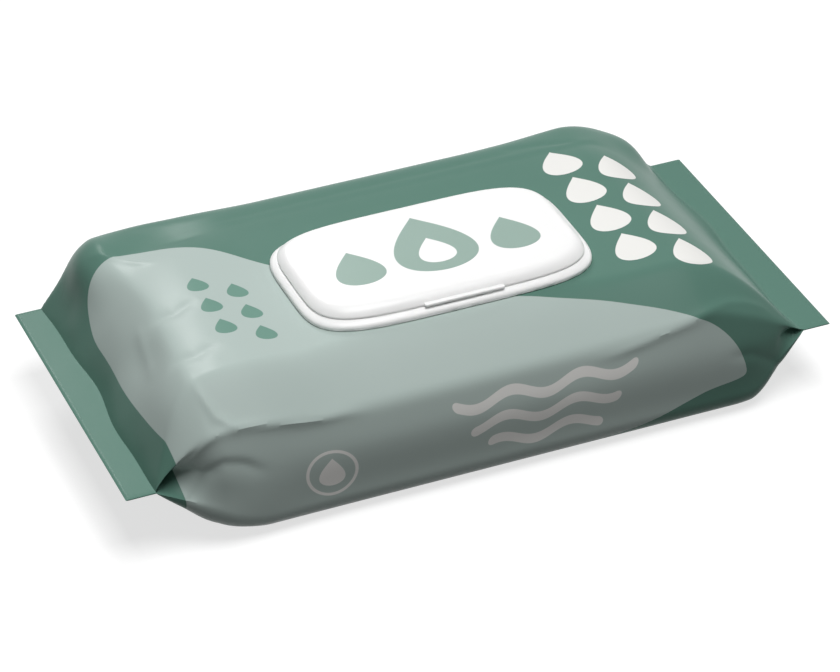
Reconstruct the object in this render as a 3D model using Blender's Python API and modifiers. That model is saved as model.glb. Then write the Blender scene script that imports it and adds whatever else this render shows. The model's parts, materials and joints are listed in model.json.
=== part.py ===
# A flow-wrapped pack of wet wipes, lying on its flat underside, with a glued-on flip-top closure.
# Metres. +X runs along the pack, -Y is the front where the thumb tab is, +Z is up.
# The origin is on the table, under the middle of the pack.
import math

import bmesh
import bpy
from mathutils import Matrix

# Film pack
PACK_LENGTH = 0.240  # fin tip to fin tip
PACK_WIDTH = 0.119  # across the bulging sides
PANEL_HEIGHT = 0.0510  # table to the flat film under the closure
END_RISE = 0.0025  # how far the ridges at the ends of the top stand over that film
BACK_RISE = 0.0009  # and the one along its back edge
LEFT_RIDGE_INSET = 0.027  # left fin line to the left ridge of the top
RIGHT_RIDGE_INSET = 0.036  # right fin line to the right ridge of the top
LEFT_FULLNESS = 2.6  # how far an end panel bulges: 1 is a straight slope
RIGHT_FULLNESS = 1.7
LEFT_UNDERSIDE_INSET = 0.030  # left fin line to where the flat underside starts
RIGHT_UNDERSIDE_INSET = 0.018
UNDERSIDE_FULLNESS = 1.7
FRONT_SHOULDER = 0.015  # how far the rounded front edge reaches in over the top
BACK_SHOULDER = 0.017  # and the back edge
SHOULDER_DROP = 0.014  # how far both reach down the side
FOOT_RADIUS = 0.009  # bottom long edge

# End fins, pressed flat out of four layers of film
FIN_DEPTH = 0.010
FIN_WIDTH = 0.112
FIN_THICKNESS = 0.0006
FIN_HEIGHT = 0.0243  # table to the middle of the fins
LEFT_TUCK_DEPTH = 0.0115  # how far the side film folds in behind a fin
RIGHT_TUCK_DEPTH = 0.0055
LEFT_TUCK_REACH = 0.022  # how far along the side that fold fades out
RIGHT_TUCK_REACH = 0.013
NARROWING = 0.024  # over which the sides draw in to the width of the fins

# Lap of the long seal that is folded flat against the underside
SEAL_LAP = 0.014
SEAL_STEP = 0.0005
SEAL_STEP_WIDTH = 0.0009

# Closure, one moulding whose lid folds on a living hinge
CLOSURE_LENGTH = 0.0985
CLOSURE_WIDTH = 0.0590
CLOSURE_FORWARD = 0.0080  # how far its middle sits in front of the pack's
CLOSURE_SIDEWAYS = 0.0008  # and to the right of it
FLAT_MARGIN = 0.0005  # level film beyond the closure's edge
CLOSURE_ROUNDNESS = 4.6  # exponent of its outline: 2 is an ellipse, more is squarer
WALL = 0.0011
EDGE_HEIGHT = 0.0008  # upright rim of the frame on the film
SEAM_HEIGHT = 0.0026  # film to the ledge that the lid closes on
WALL_LEAN = 0.0021  # how far the frame's outer wall leans in up to that ledge
WALL_TURN = 50.0  # degrees that this wall has turned inwards when it reaches the ledge
LID_FIT = 0.00064  # clearance between the lid's wall and the rim inside it
UPSTAND_HEIGHT = 0.0034  # film to the top of that rim
DRAFT = 0.0002  # taper that lets the moulding leave its tool
DECK = 0.0012  # thickness of the plate round the opening
OPENING_LENGTH = 0.0660
OPENING_WIDTH = 0.0300
OPENING_ROUNDNESS = 3.2
COLLAR_HEIGHT = 0.0037  # film to the top of the collar round the opening
COLLAR = 0.0010

LID_LIP = 0.0005  # upright lower edge of the lid
LID_SLOPE = 0.0042  # how far in from that edge the lid rises
LID_FULLNESS = 2.4  # how far this rise bulges: 1 is a straight slope
LID_HEIGHT = 0.0060  # film to the end of the rise
LID_CROWN = 0.0005  # how much the middle of the lid stands over that
PLUG = 0.0009  # thickness of the sealing ring under the lid
PLUG_FIT = 0.0005  # clearance between that ring and the collar
TAB_WIDTH = 0.0270
TAB_THICKNESS = 0.0010
TAB_BEVEL = 0.00035
BEAD_LENGTH = 0.0160
BEAD_RADIUS = 0.00045  # half-round snap bead inside the lid's front wall
HINGE_WIDTH = 0.0520
HINGE_CLEARANCE = 0.00015  # hinge axis to each of the two edges that meet there

# Peel-off label over the cut in the film
LABEL_MARGIN = 0.0020  # to the collar all round
LABEL_THICKNESS = 0.0003
TONGUE_LENGTH = 0.0012
TONGUE_WIDTH = 0.0060

GAP = 0.0003  # between pieces that touch
OUTLINE_POINTS = 72
ARC_STEPS = 4
SLOPE_STEPS = 6
SHOULDER_STEPS = 6
FLAT_STEPS = 4

CLOSURE_X = CLOSURE_SIDEWAYS
CLOSURE_Y = -CLOSURE_FORWARD
FLAT_END_X = CLOSURE_LENGTH / 2 + CLOSURE_SIDEWAYS + FLAT_MARGIN
FLAT_END_Y = CLOSURE_WIDTH / 2 + CLOSURE_FORWARD + FLAT_MARGIN
FRAME_Z = PANEL_HEIGHT + GAP
REAR_EDGE_Y = CLOSURE_Y + CLOSURE_WIDTH / 2
HINGE_Y = REAR_EDGE_Y - WALL_LEAN + HINGE_CLEARANCE
HINGE_Z = FRAME_Z + SEAM_HEIGHT + GAP / 2
FRONT_EDGE_Y = CLOSURE_Y - CLOSURE_WIDTH / 2
SKIRT_Z = SEAM_HEIGHT + GAP
UPSTAND_INSET = WALL_LEAN + WALL + LID_FIT
PLUG_LENGTH = OPENING_LENGTH + 2 * (COLLAR + PLUG_FIT)
PLUG_WIDTH = OPENING_WIDTH + 2 * (COLLAR + PLUG_FIT)


def clear_scene():
    for thing in list(bpy.data.objects):
        bpy.data.objects.remove(thing, do_unlink=True)


def new_collection(name, for_cutters=False):
    collection = bpy.data.collections.new(name)
    bpy.context.scene.collection.children.link(collection)
    collection.hide_render = for_cutters
    return collection


def plastic(name, colour, roughness):
    material = bpy.data.materials.new(name)
    material.use_nodes = True
    shader = material.node_tree.nodes["Principled BSDF"]
    shader.inputs["Base Color"].default_value = (*colour, 1.0)
    shader.inputs["Roughness"].default_value = roughness
    shader.inputs["Metallic"].default_value = 0.0
    return material


def object_from(bm, name, collection, material=None, origin=(0.0, 0.0, 0.0)):
    """Turns a bmesh in world coordinates into an object whose origin is at origin."""
    bmesh.ops.translate(bm, verts=bm.verts, vec=[-value for value in origin])
    mesh = bpy.data.meshes.new(name)
    bm.to_mesh(mesh)
    bm.free()
    if material:
        mesh.materials.append(material)
    thing = bpy.data.objects.new(name, mesh)
    thing.location = origin
    collection.objects.link(thing)
    return thing


def boolean(thing, other, operation):
    step = thing.modifiers.new(other.name, "BOOLEAN")
    step.operation = operation
    step.solver = "EXACT"
    step.object = other
    other.hide_render = True
    other.display_type = "WIRE"


def shade(thing, angle=30.0):
    thing.data.shade_smooth()
    thing.data.set_sharp_from_angle(angle=math.radians(angle))


def ease(share):
    """0 to 1 with a flat start and end."""
    share = max(0.0, min(1.0, share))
    return share * share * (3.0 - 2.0 * share)


def end_profile(share, fullness):
    """Height of a bulging slope from its foot to its top: steep at the foot, level at the top."""
    return 1.0 - (1.0 - max(0.0, min(1.0, share))) ** fullness


def loft(bm, rings, closed):
    """Joins rings of the same number of points; closed joins the last to the first, else both are capped."""
    loops = [[bm.verts.new(point) for point in ring] for ring in rings]
    pairs = list(zip(loops, loops[1:] + loops[:1])) if closed else list(zip(loops, loops[1:]))
    for first, second in pairs:
        for index in range(len(first)):
            after = (index + 1) % len(first)
            bm.faces.new((first[index], first[after], second[after], second[index]))
    if not closed:
        bm.faces.new(loops[0][::-1])
        bm.faces.new(loops[-1])
    bmesh.ops.recalc_face_normals(bm, faces=bm.faces)
    return loops


# Film pack


def behind_fin(x):
    """Distance from the fin line of the nearer end towards the middle."""
    return PACK_LENGTH / 2 - FIN_DEPTH - abs(x)


def top_height(x):
    inset, fullness = (LEFT_RIDGE_INSET, LEFT_FULLNESS) if x < 0 else (RIGHT_RIDGE_INSET, RIGHT_FULLNESS)
    ridge_x = PACK_LENGTH / 2 - FIN_DEPTH - inset
    ridge = PANEL_HEIGHT + END_RISE * ease((abs(x) - FLAT_END_X) / (ridge_x - FLAT_END_X))
    lowest = FIN_HEIGHT + FIN_THICKNESS / 2
    return lowest + (ridge - lowest) * end_profile(behind_fin(x) / inset, fullness)


def bottom_height(x):
    inset = LEFT_UNDERSIDE_INSET if x < 0 else RIGHT_UNDERSIDE_INSET
    highest = FIN_HEIGHT - FIN_THICKNESS / 2
    return highest * (1.0 - end_profile(behind_fin(x) / inset, UNDERSIDE_FULLNESS))


def half_width(x):
    return (FIN_WIDTH + (PACK_WIDTH - FIN_WIDTH) * ease(behind_fin(x) / NARROWING)) / 2


def tuck(x):
    """How far the side folds in: nothing in the pressed fin, deepest just behind it, then fading."""
    if behind_fin(x) <= 0:
        return 0.0
    depth, reach = (LEFT_TUCK_DEPTH, LEFT_TUCK_REACH) if x < 0 else (RIGHT_TUCK_DEPTH, RIGHT_TUCK_REACH)
    return depth * (1.0 - ease(behind_fin(x) / reach))


def quarter(run, drop, steps):
    """Points of a quarter ellipse as (in from the side, down from the top), without its two ends."""
    angles = [math.pi / 2 * step / (steps + 1) for step in range(1, steps + 1)]
    return [(run * (1 - math.sin(angle)), drop * (1 - math.cos(angle))) for angle in angles]


def half_section(x, shoulder, rise):
    """(y, z) points of the section at x, from the top's centre line to the underside's."""
    width, top, bottom = half_width(x), top_height(x), bottom_height(x)
    share = min((top - FIN_HEIGHT) / (PANEL_HEIGHT - FIN_HEIGHT), 1.0)
    run, drop, rise = shoulder * share, SHOULDER_DROP * share, rise * share
    foot = min(FOOT_RADIUS, (FIN_HEIGHT - bottom) / 2)
    flat = FLAT_END_Y * share
    points = [(flat * step / 2, top) for step in range(3)]
    for step in range(1, FLAT_STEPS + 1):
        across = flat + (width - run - flat) * step / FLAT_STEPS
        points.append((across, top + rise * ease(step / FLAT_STEPS)))
    shoulder_points = quarter(run, drop + rise, SHOULDER_STEPS)
    points += [(width - into, top + rise - down) for into, down in shoulder_points]
    points += [(width, top - drop), (width - tuck(x), FIN_HEIGHT), (width, bottom + foot)]
    points += [(width - into, bottom + down) for into, down in quarter(foot, foot, ARC_STEPS)[::-1]]
    points += [((width - foot) * step / FLAT_STEPS, bottom) for step in range(FLAT_STEPS, -1, -1)]
    return points


def section(x):
    """The whole ring at x: the front half, then the back half the other way round."""
    front = [(x, -y, z) for y, z in half_section(x, FRONT_SHOULDER, 0.0)]
    back = [(x, y, z) for y, z in half_section(x, BACK_SHOULDER, BACK_RISE)]
    return front + back[-2:0:-1]


def stations():
    """Where the sections stand: close together over the end panels, wide apart in the middle."""
    fin_line = PACK_LENGTH / 2 - FIN_DEPTH
    places = [-PACK_LENGTH / 2, -fin_line]
    left, right = -fin_line + LEFT_RIDGE_INSET, fin_line - RIGHT_RIDGE_INSET
    shares = (0.03, 0.08, 0.15, 0.24, 0.35, 0.48, 0.62, 0.78, 1.0)
    places += [-fin_line + LEFT_RIDGE_INSET * share for share in shares]
    places += [left + (-FLAT_END_X - left) * step / 4 for step in (1, 2, 3, 4)]
    places += [FLAT_END_X * share for share in (-0.5, 0.0, 0.5)]
    places += [FLAT_END_X + (right - FLAT_END_X) * step / 4 for step in (0, 1, 2, 3)]
    places += [fin_line - RIGHT_RIDGE_INSET * share for share in shares[::-1]]
    return places + [fin_line, PACK_LENGTH / 2]


def make_film_pack(collection, cutters):
    bm = bmesh.new()
    loft(bm, [section(x) for x in stations()], closed=False)
    pack = object_from(bm, "film_pack", collection, plastic("sage_film", (0.23, 0.36, 0.30), 0.35))
    bm = bmesh.new()
    bmesh.ops.create_cube(bm, size=1.0)
    bmesh.ops.scale(bm, vec=(PACK_LENGTH, SEAL_STEP_WIDTH, 2 * SEAL_STEP), verts=bm.verts)
    bmesh.ops.translate(bm, vec=(0, SEAL_LAP, 0), verts=bm.verts)
    boolean(pack, object_from(bm, "seal_lap_edge", cutters), "DIFFERENCE")
    shade(pack, 40.0)
    return pack


# Closure


def outline(length, width, height, roundness, middle=(CLOSURE_X, CLOSURE_Y)):
    """A rounded outline with slightly bowed sides, at a height over the film."""
    points = []
    for index in range(OUTLINE_POINTS):
        angle = 2 * math.pi * index / OUTLINE_POINTS
        cos, sin = math.cos(angle), math.sin(angle)
        across = math.copysign(abs(cos) ** (2 / roundness), cos) * length / 2
        along = math.copysign(abs(sin) ** (2 / roundness), sin) * width / 2
        points.append((middle[0] + across, middle[1] + along, FRAME_Z + height))
    return points


def inset_ring(inset, height):
    """The closure's own outline, moved in."""
    return outline(CLOSURE_LENGTH - 2 * inset, CLOSURE_WIDTH - 2 * inset, height, CLOSURE_ROUNDNESS)


def opening_ring(outset, height):
    """The opening's outline, moved out."""
    return outline(OPENING_LENGTH + 2 * outset, OPENING_WIDTH + 2 * outset, height, OPENING_ROUNDNESS)


def leaning_wall():
    """Rings of the frame's outer wall, which curves in from its upright rim to the ledge."""
    turn = math.radians(WALL_TURN)
    rings = []
    for step in range(ARC_STEPS + 1):
        angle = turn * step / ARC_STEPS
        inset = WALL_LEAN * (1 - math.cos(angle)) / (1 - math.cos(turn))
        height = EDGE_HEIGHT + (SEAM_HEIGHT - EDGE_HEIGHT) * math.sin(angle) / math.sin(turn)
        rings.append(inset_ring(inset, height))
    return rings


def frame_rings():
    """The frame's moulded section, from the rim on the film over ledge, upstand, deck and collar."""
    inner = UPSTAND_INSET + WALL
    return [
        inset_ring(0, 0),
        *leaning_wall(),
        inset_ring(UPSTAND_INSET, SEAM_HEIGHT),
        inset_ring(UPSTAND_INSET + DRAFT, UPSTAND_HEIGHT),
        inset_ring(inner - DRAFT, UPSTAND_HEIGHT),
        inset_ring(inner, DECK),
        opening_ring(COLLAR + DRAFT, DECK),
        opening_ring(COLLAR, COLLAR_HEIGHT),
        opening_ring(0, COLLAR_HEIGHT),
        opening_ring(0, 0),
        inset_ring(inner - WALL / 2, 0),
        inset_ring(inner - WALL / 2, DECK),
        inset_ring(WALL + DRAFT, DECK),
        inset_ring(WALL, 0),
    ]


def block(name, collection, low, high):
    bm = bmesh.new()
    bmesh.ops.create_cube(bm, size=1.0)
    bmesh.ops.scale(bm, vec=[b - a for a, b in zip(low, high)], verts=bm.verts)
    bmesh.ops.translate(bm, vec=[(a + b) / 2 for a, b in zip(low, high)], verts=bm.verts)
    return object_from(bm, name, collection)


def make_lid_frame(collection, cutters):
    bm = bmesh.new()
    loft(bm, frame_rings(), closed=True)
    frame = object_from(bm, "lid_frame", collection, plastic("white_closure", (0.93, 0.93, 0.92), 0.35))
    ledge_z = FRAME_Z + SEAM_HEIGHT
    sill_low = (CLOSURE_X - TAB_WIDTH / 2, FRONT_EDGE_Y, FRAME_Z)
    sill_high = (CLOSURE_X + TAB_WIDTH / 2, FRONT_EDGE_Y + UPSTAND_INSET, ledge_z)
    boolean(frame, block("thumb_sill", cutters, sill_low, sill_high), "UNION")
    hinge_low = (CLOSURE_X - HINGE_WIDTH / 2, REAR_EDGE_Y - UPSTAND_INSET, FRAME_Z)
    hinge_high = (CLOSURE_X + HINGE_WIDTH / 2, HINGE_Y - HINGE_CLEARANCE, ledge_z)
    boolean(frame, block("hinge_sill", cutters, hinge_low, hinge_high), "UNION")
    relief_low = (hinge_low[0] - GAP, hinge_high[1], FRAME_Z - SEAM_HEIGHT)
    relief_high = (hinge_high[0] + GAP, REAR_EDGE_Y + SEAM_HEIGHT, ledge_z + SEAM_HEIGHT)
    boolean(frame, block("hinge_relief", cutters, relief_low, relief_high), "DIFFERENCE")
    shade(frame)
    return frame


def lid_shell():
    """Outer surface of the lid, from the skirt's lower edge to the middle of its crowned top."""
    bm = bmesh.new()
    rings = [inset_ring(WALL_LEAN, SKIRT_Z)]
    rise = LID_HEIGHT - SKIRT_Z - LID_LIP
    for step in range(SLOPE_STEPS + 1):
        share = (step / SLOPE_STEPS) ** 1.5
        height = SKIRT_Z + LID_LIP + rise * end_profile(share, LID_FULLNESS)
        rings.append(inset_ring(WALL_LEAN + LID_SLOPE * share, height))
    flat_inset = WALL_LEAN + LID_SLOPE
    for share in (0.3, 0.6, 0.85):
        inset = flat_inset + share * (CLOSURE_WIDTH / 2 - flat_inset)
        rings.append(inset_ring(inset, LID_HEIGHT + LID_CROWN * (1 - (1 - share) ** 2)))
    loops = [[bm.verts.new(point) for point in ring] for ring in rings]
    for first, second in zip(loops, loops[1:]):
        for index in range(OUTLINE_POINTS):
            after = (index + 1) % OUTLINE_POINTS
            bm.faces.new((first[index], first[after], second[after], second[index]))
    bm.faces.new(loops[-1])
    return bm


def make_plug_ring(cutters):
    """The ring under the lid that closes round the frame's collar."""
    bm = bmesh.new()
    low, high = DECK + GAP, LID_HEIGHT - WALL / 2
    rings = [
        outline(PLUG_LENGTH, PLUG_WIDTH, low, OPENING_ROUNDNESS),
        outline(PLUG_LENGTH, PLUG_WIDTH, high, OPENING_ROUNDNESS),
        outline(PLUG_LENGTH + 2 * PLUG, PLUG_WIDTH + 2 * PLUG, high, OPENING_ROUNDNESS),
        outline(PLUG_LENGTH + 2 * PLUG - 2 * DRAFT, PLUG_WIDTH + 2 * PLUG - 2 * DRAFT, low, OPENING_ROUNDNESS),
    ]
    loft(bm, rings, closed=True)
    return object_from(bm, "plug_ring", cutters)


def make_thumb_tab(cutters):
    low = (CLOSURE_X - TAB_WIDTH / 2, FRONT_EDGE_Y, FRAME_Z + SKIRT_Z)
    high = (CLOSURE_X + TAB_WIDTH / 2, FRONT_EDGE_Y + WALL_LEAN + WALL, FRAME_Z + SKIRT_Z + TAB_THICKNESS)
    tab = block("thumb_tab", cutters, low, high)
    rounding = tab.modifiers.new("soft_edges", "BEVEL")
    rounding.width = TAB_BEVEL
    rounding.segments = 2
    return tab


def make_snap_bead(cutters):
    """A rod along X whose back half stays in the lid's front wall."""
    bm = bmesh.new()
    bmesh.ops.create_cone(
        bm, cap_ends=True, segments=12, radius1=BEAD_RADIUS, radius2=BEAD_RADIUS, depth=BEAD_LENGTH
    )
    bmesh.ops.rotate(bm, verts=bm.verts, matrix=Matrix.Rotation(math.pi / 2, 3, "Y"))
    wall_y = FRONT_EDGE_Y + WALL_LEAN + WALL
    bmesh.ops.translate(bm, verts=bm.verts, vec=(CLOSURE_X, wall_y, FRAME_Z + SKIRT_Z + BEAD_RADIUS))
    return object_from(bm, "snap_bead", cutters)


def make_flip_lid(collection, cutters):
    hinge = (CLOSURE_X, HINGE_Y, HINGE_Z)
    lid = object_from(lid_shell(), "flip_lid", collection, plastic("white_lid", (0.95, 0.95, 0.94), 0.3), hinge)
    shell = lid.modifiers.new("wall", "SOLIDIFY")
    shell.thickness = WALL
    shell.offset = -1.0
    shell.use_even_offset = True
    boolean(lid, make_plug_ring(cutters), "UNION")
    boolean(lid, make_thumb_tab(cutters), "UNION")
    boolean(lid, make_snap_bead(cutters), "UNION")
    tongue_low = (CLOSURE_X - HINGE_WIDTH / 2, REAR_EDGE_Y - WALL_LEAN - WALL, FRAME_Z + SKIRT_Z)
    tongue_high = (CLOSURE_X + HINGE_WIDTH / 2, HINGE_Y - HINGE_CLEARANCE, FRAME_Z + SKIRT_Z + LID_LIP)
    boolean(lid, block("hinge_tongue", cutters, tongue_low, tongue_high), "UNION")
    shade(lid)
    return lid


# Label


def make_seal_label(collection):
    """A flat label on the film inside the collar, with a small tongue to pull at its left end."""
    curve = bpy.data.curves.new("seal_label", "CURVE")
    curve.dimensions = "2D"
    curve.fill_mode = "BOTH"
    curve.extrude = LABEL_THICKNESS / 2
    spline = curve.splines.new("POLY")
    points = outline(OPENING_LENGTH - 2 * LABEL_MARGIN, OPENING_WIDTH - 2 * LABEL_MARGIN, 0, OPENING_ROUNDNESS, (0, 0))
    spline.points.add(len(points) - 1)
    for point, (x, y, _) in zip(spline.points, points):
        tongue = TONGUE_LENGTH * math.exp(-((2 * y / TONGUE_WIDTH) ** 4)) if x < 0 else 0.0
        point.co = (x - tongue, y, 0, 1)
    spline.use_cyclic_u = True
    label = bpy.data.objects.new("seal_label", curve)
    label.location = (CLOSURE_X, CLOSURE_Y, FRAME_Z + LABEL_THICKNESS / 2)
    curve.materials.append(plastic("silver_label", (0.80, 0.82, 0.82), 0.3))
    collection.objects.link(label)
    return label


def build():
    clear_scene()
    parts = new_collection("wet_wipes_pack")
    cutters = new_collection("cutters", for_cutters=True)
    make_film_pack(parts, cutters)
    make_seal_label(parts)
    make_lid_frame(parts, cutters)
    make_flip_lid(parts, cutters)


build()
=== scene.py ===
import json
import math

import bmesh
import bpy
import numpy as np
from mathutils import Matrix, Vector, noise


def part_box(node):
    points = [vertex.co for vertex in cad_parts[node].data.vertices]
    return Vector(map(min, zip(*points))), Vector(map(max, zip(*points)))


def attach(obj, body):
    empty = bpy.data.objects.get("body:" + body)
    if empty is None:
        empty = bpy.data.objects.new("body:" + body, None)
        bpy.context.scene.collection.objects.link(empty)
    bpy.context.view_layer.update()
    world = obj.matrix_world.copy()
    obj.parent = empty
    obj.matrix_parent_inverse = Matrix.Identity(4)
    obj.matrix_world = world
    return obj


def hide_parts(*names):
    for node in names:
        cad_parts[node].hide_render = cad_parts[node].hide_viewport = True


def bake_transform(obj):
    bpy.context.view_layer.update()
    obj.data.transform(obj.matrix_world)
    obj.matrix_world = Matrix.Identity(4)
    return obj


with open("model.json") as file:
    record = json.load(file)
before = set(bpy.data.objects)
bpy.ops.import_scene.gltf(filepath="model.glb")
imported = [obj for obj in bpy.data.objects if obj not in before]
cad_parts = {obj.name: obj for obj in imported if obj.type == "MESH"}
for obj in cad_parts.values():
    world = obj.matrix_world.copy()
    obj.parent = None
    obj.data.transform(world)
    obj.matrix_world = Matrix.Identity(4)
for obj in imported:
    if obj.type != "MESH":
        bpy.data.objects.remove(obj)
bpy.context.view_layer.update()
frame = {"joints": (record.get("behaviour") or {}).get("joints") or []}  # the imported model: it stays as it is, and the looks are built round it
bpy.ops.object.select_all(action="DESELECT")

packLow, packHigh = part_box("film_pack")
baseLow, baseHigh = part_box("lid_frame")
hinge = Vector(frame["joints"][0]["pos_m"])
touch = 0.0003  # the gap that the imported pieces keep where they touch
panelZ = baseLow.z - touch  # the level film under the closure


# Camera, lights and floor

cameraView = {
    "azimuth": -21.85,
    "elevation": 33.76,
    "roll": -1.16,
    "distance": 1.254,
    "aimHeight": 0.0243,  # the camera looks at the pack's middle, at the height of its fins
    "moveRight": 0.0001,
    "moveUp": 0.0054,
    "focalPixels": 3864,
    "pictureWidth": 840,
    "sensor": 36.0,
}

studio = {
    "worldLight": 0.10,
    "keyPower": 16.9,
    "keySize": 0.8,
    "keyPlace": (0.02, -0.34, 1.36),
    "stripPower": 6.4,
    "stripSize": (0.22, 0.5),
    "stripPlace": (0.06, 1.10, 0.90),
    "floorSize": 6.0,
    "floorColour": 0.40,  # as the camera sees it
    "floorBounce": 0.20,  # as the object sees it
    "floorGlow": 0.70,
}


def makeCamera():
    turn, rise = math.radians(cameraView["azimuth"]), math.radians(cameraView["elevation"])
    back = Vector((math.sin(turn) * math.cos(rise), -math.cos(turn) * math.cos(rise), math.sin(rise)))
    right = Vector((math.cos(turn), math.sin(turn), 0))
    up = right.cross(-back)
    roll = math.radians(cameraView["roll"])
    right, up = right * math.cos(roll) + up * math.sin(roll), up * math.cos(roll) - right * math.sin(roll)
    place = Vector((0, 0, cameraView["aimHeight"])) + back * cameraView["distance"]
    place -= right * cameraView["moveRight"] + up * cameraView["moveUp"]
    view = Matrix((right, up, back)).transposed().to_4x4()
    view.translation = place
    bpy.ops.object.camera_add()
    camera = bpy.context.object
    camera.matrix_world = view
    camera.data.sensor_width = cameraView["sensor"]
    camera.data.lens = cameraView["focalPixels"] / cameraView["pictureWidth"] * cameraView["sensor"]
    camera.data.clip_start = 0.05
    bpy.context.scene.camera = camera


def softbox(name, place, power, width, depth):
    bpy.ops.object.light_add(type="AREA", location=place)
    lamp = bpy.context.object
    lamp.name = name
    lamp.data.shape = "RECTANGLE"
    lamp.data.size, lamp.data.size_y = width, depth
    lamp.data.energy = power
    lamp.rotation_euler = (-Vector(place)).to_track_quat("-Z", "Y").to_euler()


def seenShare(tree):
    # 1 for rays that show the background: straight from the camera, or by way of gloss or glass
    path = tree.nodes.new("ShaderNodeLightPath")
    first = calc(tree, "MAXIMUM", path.outputs["Is Camera Ray"], path.outputs["Is Glossy Ray"])
    return calc(tree, "MAXIMUM", first, path.outputs["Is Transmission Ray"])


def makeStudio():
    softbox("keyLight", studio["keyPlace"], studio["keyPower"], studio["keySize"], studio["keySize"])
    softbox("stripLight", studio["stripPlace"], studio["stripPower"], *studio["stripSize"])
    world = bpy.data.worlds.new("studioWorld")
    world.use_nodes = True
    bpy.context.scene.world = world
    tree = world.node_tree
    span = tree.nodes.new("ShaderNodeMapRange")
    span.inputs["To Min"].default_value = studio["worldLight"]
    tree.links.new(seenShare(tree), span.inputs["Value"])
    tree.links.new(span.outputs["Result"], tree.nodes["Background"].inputs["Strength"])
    tree.nodes["Background"].inputs["Color"].default_value = (1, 1, 1, 1)
    bpy.ops.mesh.primitive_plane_add(size=studio["floorSize"], location=(0, 0, -touch))
    floor = bpy.context.object
    floor.name = "floor"
    material, tree, shader = newMaterial("paleFloor")
    seen = seenShare(tree)
    levels = [(studio[name],) * 3 for name in ("floorBounce", "floorColour")]
    tree.links.new(mixColour(tree, seen, *levels), shader.inputs["Base Color"])
    shader.inputs["Roughness"].default_value = 0.9
    shader.inputs["Specular IOR Level"].default_value = 0.0
    shader.inputs["Emission Color"].default_value = (1, 1, 1, 1)
    glow = calc(tree, "MULTIPLY", seen, studio["floorGlow"])
    tree.links.new(glow, shader.inputs["Emission Strength"])
    floor.data.materials.append(material)


# Helpers for materials


def newMaterial(name):
    material = bpy.data.materials.new(name)
    material.use_nodes = True
    tree = material.node_tree
    return material, tree, tree.nodes["Principled BSDF"]


def feed(tree, socket, value):
    if isinstance(value, (int, float)):
        socket.default_value = value
    else:
        tree.links.new(value, socket)


def calc(tree, operation, first, second=0.0, third=0.0):
    node = tree.nodes.new("ShaderNodeMath")
    node.operation = operation
    for socket, value in zip(node.inputs, (first, second, third)):
        feed(tree, socket, value)
    return node.outputs[0]


def mixColour(tree, share, first, second):
    node = tree.nodes.new("ShaderNodeMix")
    node.data_type = "RGBA"
    feed(tree, node.inputs["Factor"], share)
    for socket, colour in ((node.inputs["A"], first), (node.inputs["B"], second)):
        if isinstance(colour, tuple):
            socket.default_value = (*colour, 1)
        else:
            tree.links.new(colour, socket)
    return node.outputs["Result"]


def edgeMask(tree, value, softness):
    # 1 where value is above 0, with a soft step
    node = tree.nodes.new("ShaderNodeMapRange")
    node.inputs["From Min"].default_value = -softness
    node.inputs["From Max"].default_value = softness
    feed(tree, node.inputs["Value"], value)
    return node.outputs["Result"]


def noiseOf(tree, place, scale, detail):
    node = tree.nodes.new("ShaderNodeTexNoise")
    node.inputs["Scale"].default_value = scale
    node.inputs["Detail"].default_value = detail
    tree.links.new(place, node.inputs["Vector"])
    return node.outputs["Fac"]


def bumpOf(tree, shader, height, strength, distance):
    node = tree.nodes.new("ShaderNodeBump")
    node.inputs["Strength"].default_value = strength
    node.inputs["Distance"].default_value = distance
    tree.links.new(height, node.inputs["Height"])
    tree.links.new(node.outputs["Normal"], shader.inputs["Normal"])


def spread(tree, value, low, high):
    node = tree.nodes.new("ShaderNodeMapRange")
    node.inputs["To Min"].default_value = low
    node.inputs["To Max"].default_value = high
    tree.links.new(value, node.inputs["Value"])
    return node.outputs["Result"]


# Printed motifs: each is a signed field in metres, above 0 inside the motif


def turned(tree, along, across, motif):
    x = calc(tree, "SUBTRACT", along, motif["x"])
    y = calc(tree, "SUBTRACT", across, motif["y"])
    angle = math.radians(motif.get("turn", 0))
    first = calc(tree, "MULTIPLY_ADD", y, math.sin(angle), calc(tree, "MULTIPLY", x, math.cos(angle)))
    second = calc(tree, "MULTIPLY_ADD", y, math.cos(angle), calc(tree, "MULTIPLY", x, -math.sin(angle)))
    return first, second


def disc(tree, along, across, motif):
    x, y = turned(tree, along, across, motif)
    reach = calc(tree, "SQRT", calc(tree, "MULTIPLY_ADD", x, x, calc(tree, "MULTIPLY", y, y)))
    return calc(tree, "SUBTRACT", motif["size"], reach)


dropShape = {"length": 2.4, "belly": 2.2, "fullness": 2.7}


def drop(tree, along, across, motif):
    # a pear-shaped curve: its half width follows the share of its length, counted from the tip
    x, y = turned(tree, along, across, motif)
    length = dropShape["length"] * motif["size"]
    share = calc(tree, "MULTIPLY_ADD", x, -1 / length, 0.5)
    share = calc(tree, "MINIMUM", calc(tree, "MAXIMUM", share, 0.0), 1.0)
    belly = calc(tree, "POWER", share, dropShape["belly"])
    bulge = calc(tree, "SQRT", calc(tree, "MULTIPLY", belly, calc(tree, "SUBTRACT", 1.0, share)))
    half = calc(tree, "MULTIPLY_ADD", bulge, dropShape["fullness"] * motif["size"], -printDesign["edge"])
    return calc(tree, "SUBTRACT", half, calc(tree, "ABSOLUTE", y))


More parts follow.
